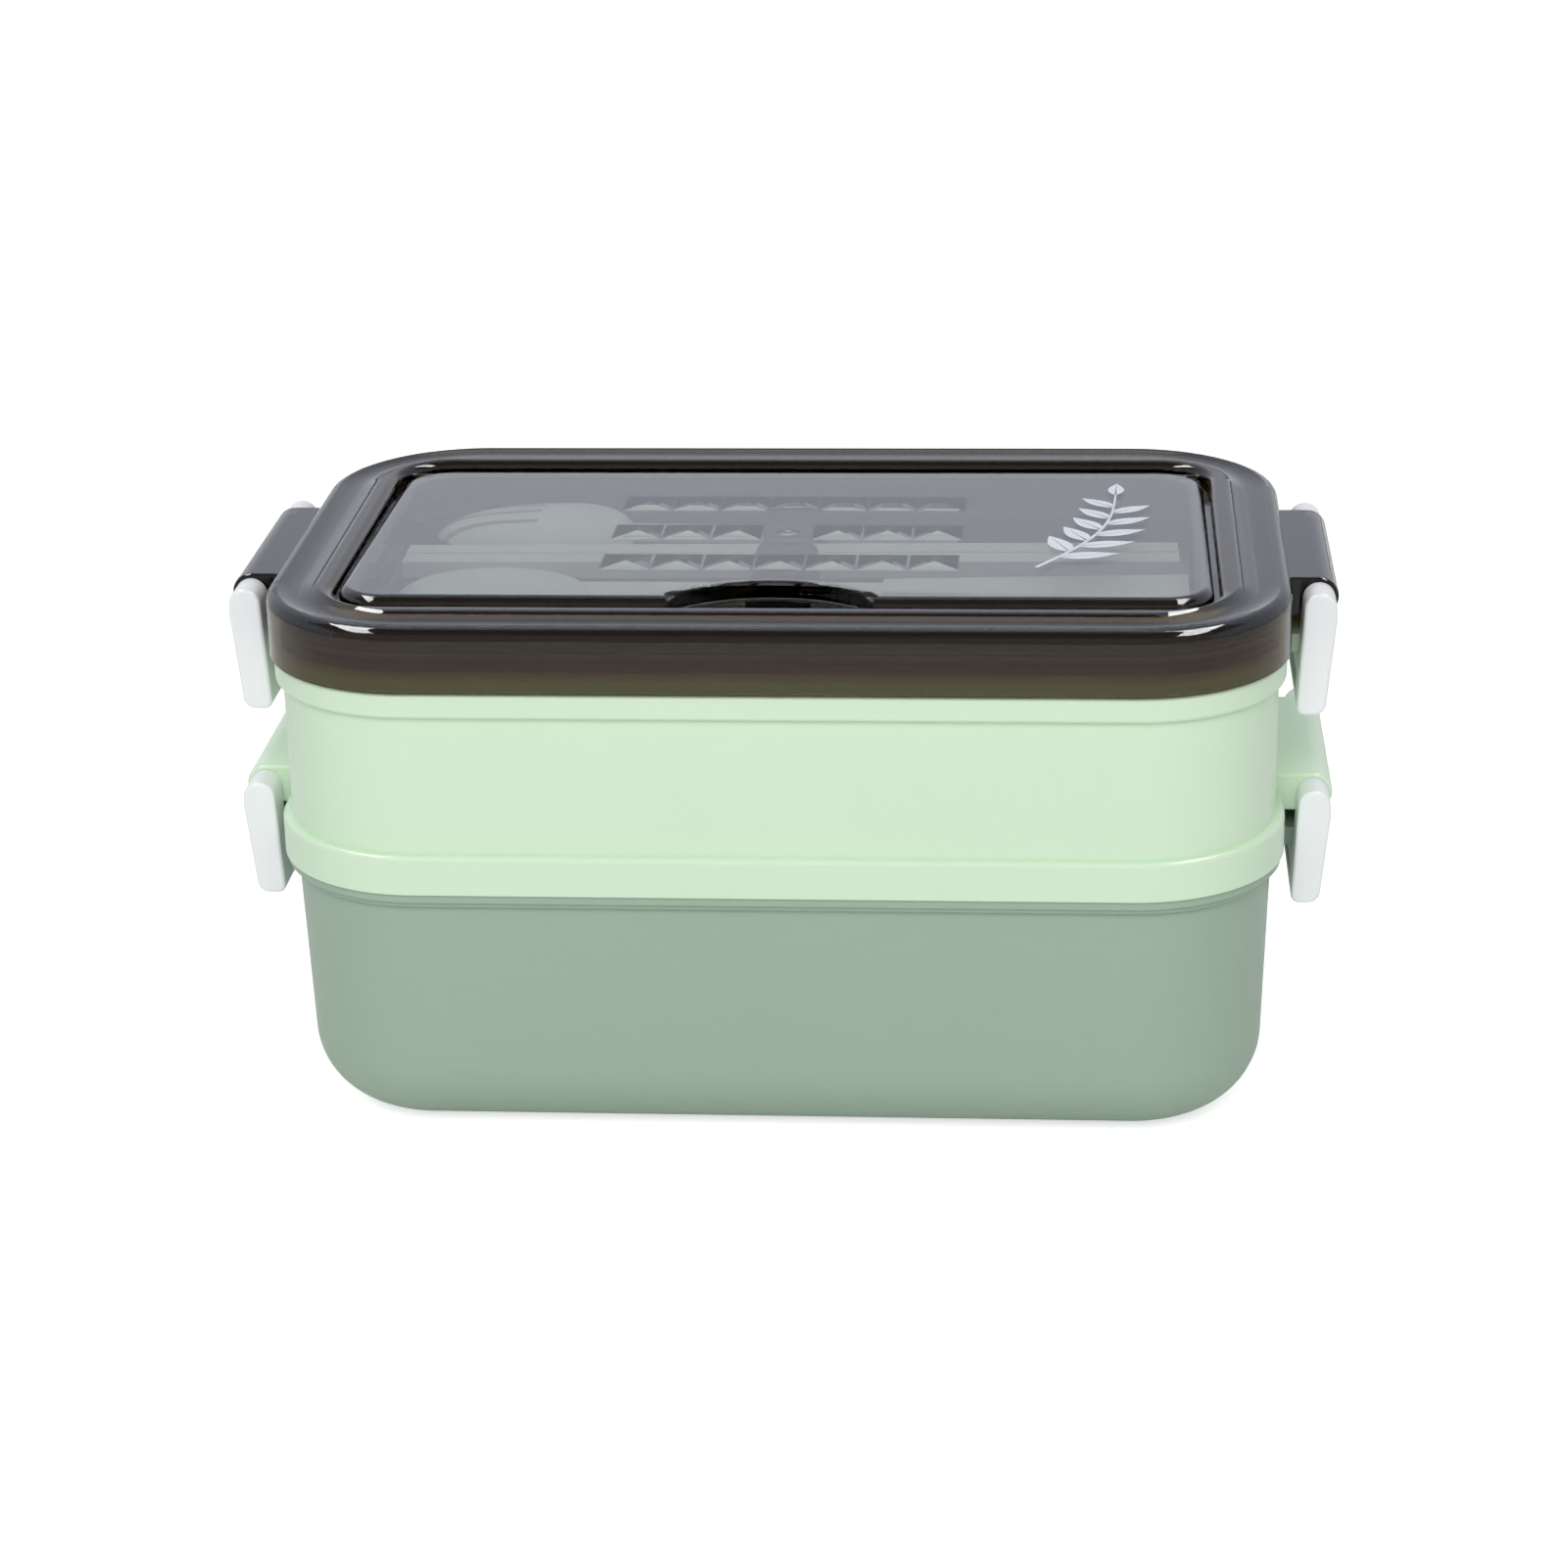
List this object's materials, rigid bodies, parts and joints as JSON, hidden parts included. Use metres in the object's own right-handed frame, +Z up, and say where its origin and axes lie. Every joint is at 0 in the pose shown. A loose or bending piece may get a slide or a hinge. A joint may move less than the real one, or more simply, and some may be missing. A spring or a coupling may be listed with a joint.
{
  "type": "bento lunch box",
  "caption": "Stacked lunch box with side latches, a tinted lid with a sunk cutlery tray, and a hinged clear cover with a finger notch.",
  "frame": {"origin": "centre of the flat base, on the surface the box stands on", "axes": "+X along the long side, towards the right-hand latches; +Y to the hinge side of the cover; +Z up"},
  "size_m": [0.2146, 0.1226, 0.1082],
  "materials": {
    "sage_plastic": "satin",
    "mint_plastic": "satin",
    "smoke_plastic": "clear smoke tint, gloss",
    "smoke_cover": "clear smoke tint, gloss",
    "white_plastic": "satin",
    "seal_rubber": "matt silicone",
    "cutlery_plastic": "satin"
  },
  "bodies": {
    "lower_box": {"lower_box": "sage_plastic"},
    "middle_box": {"middle_box": "mint_plastic", "middle_seal": "seal_rubber"},
    "lid": {"lid": "smoke_plastic", "lid_seal": "seal_rubber"},
    "cutlery_cover": {"cutlery_cover": "smoke_cover"},
    "latch_lid_left": {"latch_lid_left": "white_plastic"},
    "latch_lid_right": {"latch_lid_right": "white_plastic"},
    "latch_box_left": {"latch_box_left": "white_plastic"},
    "latch_box_right": {"latch_box_right": "white_plastic"},
    "fork": {"fork": "cutlery_plastic"},
    "spoon": {"spoon": "cutlery_plastic"},
    "chopstick_front": {"chopstick_front": "cutlery_plastic"},
    "chopstick_back": {"chopstick_back": "cutlery_plastic"}
  },
  "joints": [
    {"name": "middle_lift", "type": "slide", "parent": "lower_box", "child": "middle_box", "axis": [0, 0, 1], "range_m": [0, 0.09]},
    {"name": "lid_lift", "type": "slide", "parent": "middle_box", "child": "lid", "axis": [0, 0, 1], "range_m": [0, 0.09]},
    {"name": "latch_lid_right_hinge", "type": "hinge", "parent": "lid", "child": "latch_lid_right", "pos_m": [0.1035, 0, 0.1004], "axis": [0, -1, 0], "range_deg": [0, 110]},
    {"name": "latch_lid_left_hinge", "type": "hinge", "parent": "lid", "child": "latch_lid_left", "pos_m": [-0.1035, 0, 0.1004], "axis": [0, 1, 0], "range_deg": [0, 110]},
    {"name": "latch_box_right_hinge", "type": "hinge", "parent": "middle_box", "child": "latch_box_right", "pos_m": [0.1035, 0, 0.0603], "axis": [0, -1, 0], "range_deg": [0, 110]},
    {"name": "latch_box_left_hinge", "type": "hinge", "parent": "middle_box", "child": "latch_box_left", "pos_m": [-0.1035, 0, 0.0603], "axis": [0, 1, 0], "range_deg": [0, 110]},
    {"name": "cover_hinge", "type": "hinge", "parent": "lid", "child": "cutlery_cover", "pos_m": [0, 0.04425, 0.10399], "axis": [-1, 0, 0], "range_deg": [0, 90]},
    {"name": "fork_lift", "type": "slide", "parent": "lid", "child": "fork", "axis": [0, 0, 1], "range_m": [0, 0.12]},
    {"name": "spoon_lift", "type": "slide", "parent": "lid", "child": "spoon", "axis": [0, 0, 1], "range_m": [0, 0.12]},
    {"name": "chopstick_front_lift", "type": "slide", "parent": "lid", "child": "chopstick_front", "axis": [0, 0, 1], "range_m": [0, 0.12]},
    {"name": "chopstick_back_lift", "type": "slide", "parent": "lid", "child": "chopstick_back", "axis": [0, 0, 1], "range_m": [0, 0.12]}
  ]
}
